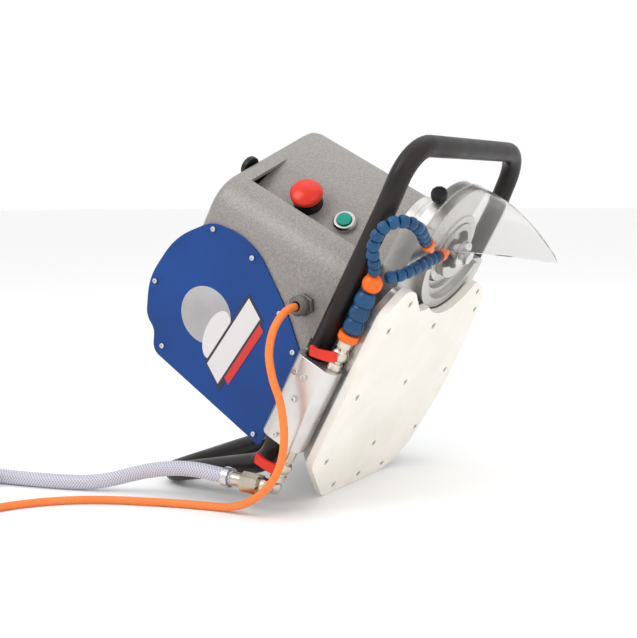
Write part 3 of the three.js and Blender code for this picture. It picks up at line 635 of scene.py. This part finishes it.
def film(name, outline, look, lift):
    mesh = bpy.data.meshes.new(name)
    made = bmesh.new()
    under = [made.verts.new(onMachine(x, filmFace["under"] - lift, z)) for x, z in outline]
    over = [made.verts.new(onMachine(x, filmFace["over"] - lift, z)) for x, z in outline]
    made.faces.new(under)
    made.faces.new(list(reversed(over)))
    for i in range(len(outline)):
        n = (i + 1) % len(outline)
        made.faces.new((under[i], over[i], over[n], under[n]))
    bmesh.ops.recalc_face_normals(made, faces=made.faces)
    made.to_mesh(mesh)
    made.free()
    return finished(linked(name, mesh), look)


def oval(x, z, wide, high, count=48):
    angles = [k * 2 * math.pi / count for k in range(count)]
    return [(x + wide * math.cos(a), z + high * math.sin(a)) for a in angles]


def band(start, end, halfWidth, slant=0.0):
    away = (Vector(end) - Vector(start)).normalized()
    side = Vector((-away.y, away.x)) * halfWidth
    corners = [Vector(start) - side - away * slant, Vector(end) - side - away * slant,
               Vector(end) + side + away * slant, Vector(start) + side + away * slant]
    return [tuple(c) for c in corners]


film("film_oval", oval(-126, 226, 36, 40), "filmGrey", 0)
film("film_oval_low", oval(-140, 200, 34, 18), "filmPale", 0.15)
film("film_band_dark", band((-190, 182), (-78, 163), 19, 7), "filmDark", 0.3)
film("film_band_pale", band((-187, 183), (-80, 165), 14, 5), "filmPale", 0.45)
film("film_band_red", band((-184, 160), (-96, 145), 5, 2), "filmRed", 0.6)
softened("top_cap", "blackMoulding", edge=0.0008)
softened("estop_collar", "blackMoulding", edge=0.0004)
softened("estop_head", "redMoulding", "estop_head", edge=0.0004, angle=60)
softened("start_bezel", "turnedSteel", edge=0.0004)
softened("start_button", "greenMoulding", "start_button", edge=0.0005)
softened("cable_gland", "greyNylon", edge=0.0005)
softened("gland_cap", "greyNylon", edge=0.0005)
print("housing and switches done")

# ---- guard and spindle ----
softened("guard_bracket", "machinedAluminium", "guard", edge=0.0006)
softened("guard_sheet", "clearSheet", "guard", edge=0.0)
softened("guard_knob", "blackMoulding", "guard_knob", edge=0.0006)
for node, look in (("spindle", "turnedSteel"), ("tool_flange", "turnedSteel"), ("tool_nut", "turnedSteel"),
                       ("spindle_pulley", "machinedAluminium")):
    softened(node, look, "spindle", edge=0.0004)
for node, look in (("rotor", "turnedSteel"), ("motor_fan", "blackMoulding"),
                   ("motor_pulley", "machinedAluminium")):
    softened(node, look, "rotor", edge=0.0004)
for node, look in (("motor_end_lower", "castAluminium"), ("motor_stator", "motorSteel"),
                       ("motor_end_upper", "castAluminium"), ("motor_bearing_lower", "turnedSteel"),
                       ("motor_bearing_upper", "turnedSteel"), ("spindle_bearing_lower", "turnedSteel"),
                       ("spindle_bearing_upper", "turnedSteel"), ("drive_belt", "beltRubber"),
                       ("speed_control_box", "blackMoulding"), ("contactor", "creamMoulding")):
    softened(node, look, edge=0.0004)
print("drive and guard done")

# ---- water side ----
softened("coolant_valve", "platedBrass", edge=0.0004)
softened("inlet_valve", "platedBrass", edge=0.0004)
softened("coolant_lever", "redMoulding", "coolant_lever", edge=0.0008)
softened("inlet_lever", "redMoulding", "inlet_lever", edge=0.0008)
softened("hose_coupling", "platedBrass", edge=0.0004)
softened("hose_clamp", "turnedSteel", edge=0.0004)
softened("hose_nut", "orangeAcetal", edge=0.0005)
softened("hose_tee", "orangeAcetal", edge=0.0)
softened("nozzle_upper", "orangeAcetal", edge=0.0003)
softened("nozzle_lower", "orangeAcetal", edge=0.0003)


def hoseSegment(name, radius, pitch):
    shares = [(0, -0.5), (0.74, -0.5), (0.8, -0.42), (0.96, -0.3), (1, -0.08), (0.98, 0.14), (0.88, 0.3),
              (0.86, 0.42), (0.7, 0.5), (0, 0.5)]
    return turnedMesh(name, [(out * radius, along * pitch) for out, along in shares], sides=24, angle=60)


# radius and pitch of one ball joint; routes on the machine's own axes
trunk = {"radius": 12.2, "pitch": 19}
branch = {"radius": 7.6, "pitch": 11.6}
jointedHoses = {
    "coolant_hose": (trunk, [(-19, -163, 28), (-8, -163, 28.4), (4, -163, 29), (15, -163, 29.5)]),
    "branch_hose_upper": (branch, [(53.5, -170.5, 31), (60, -176, 31.2), (78, -188, 36), (98, -190, 37),
                                   (113, -185, 31), (120, -170, 21), (115, -150, 13), (102, -126, 12),
                                   (99.5, -121.5, 11.6)]),
    "branch_hose_lower": (branch, [(48.3, -144.5, 20.5), (52, -138, 16), (60, -120, 12), (67, -100, 11),
                                   (72, -80, 12), (75, -66, 12)])
}
for name, kind in (("trunk", trunk), ("branch", branch)):
    kind["sample"] = samples[name] = hoseSegment(name + "_sample", kind["radius"] / 1000, kind["pitch"] / 1000)
for node, (kind, route) in jointedHoses.items():
    line = smoothLine([onMachine(*p) for p in route], 8)
    piece = strung(node + "_joints", kind["sample"], line, kind["pitch"] / 1000, "blueAcetal", "machine")
    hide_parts(node)
print("water side done")

for sample in samples.values():
    bpy.data.objects.remove(sample)

# ---- floor and light ----
floorMaterial = newMaterial("paleFloor", (0.93, 0.93, 0.93), 0.7)
bpy.ops.mesh.primitive_plane_add(size=60, location=(0, 0, -0.0005))
floor = bpy.context.object
floor.name = "floor"
floor.data.materials.append(floorMaterial)
world = bpy.data.worlds.new("studio")
bpy.context.scene.world = world
world.use_nodes = True
world.node_tree.nodes["Background"].inputs["Color"].default_value = (1, 1, 1, 1)
world.node_tree.nodes["Background"].inputs["Strength"].default_value = 1.0
lamps = {
    "key": {"place": (-0.9, -1.9, 2.2), "power": 26, "size": 1.5},
    "fill": {"place": (2.2, -1.2, 1.3), "power": 8, "size": 2.0},
    "top": {"place": (0.2, 0.6, 2.6), "power": 14, "size": 2.4}
}
lampTarget = Vector((0, 0, 0.2))
for name, given in lamps.items():
    lampData = bpy.data.lights.new(name, "AREA")
    lampData.energy = given["power"]
    lampData.size = given["size"]
    lamp = bpy.data.objects.new(name, lampData)
    bpy.context.scene.collection.objects.link(lamp)
    turn = (Vector(given["place"]) - lampTarget).to_track_quat("Z", "Y")
    lamp.matrix_world = Matrix.Translation(given["place"]) @ turn.to_matrix().to_4x4()
bpy.context.scene.view_settings.view_transform = "Standard"
print("floor and light done")
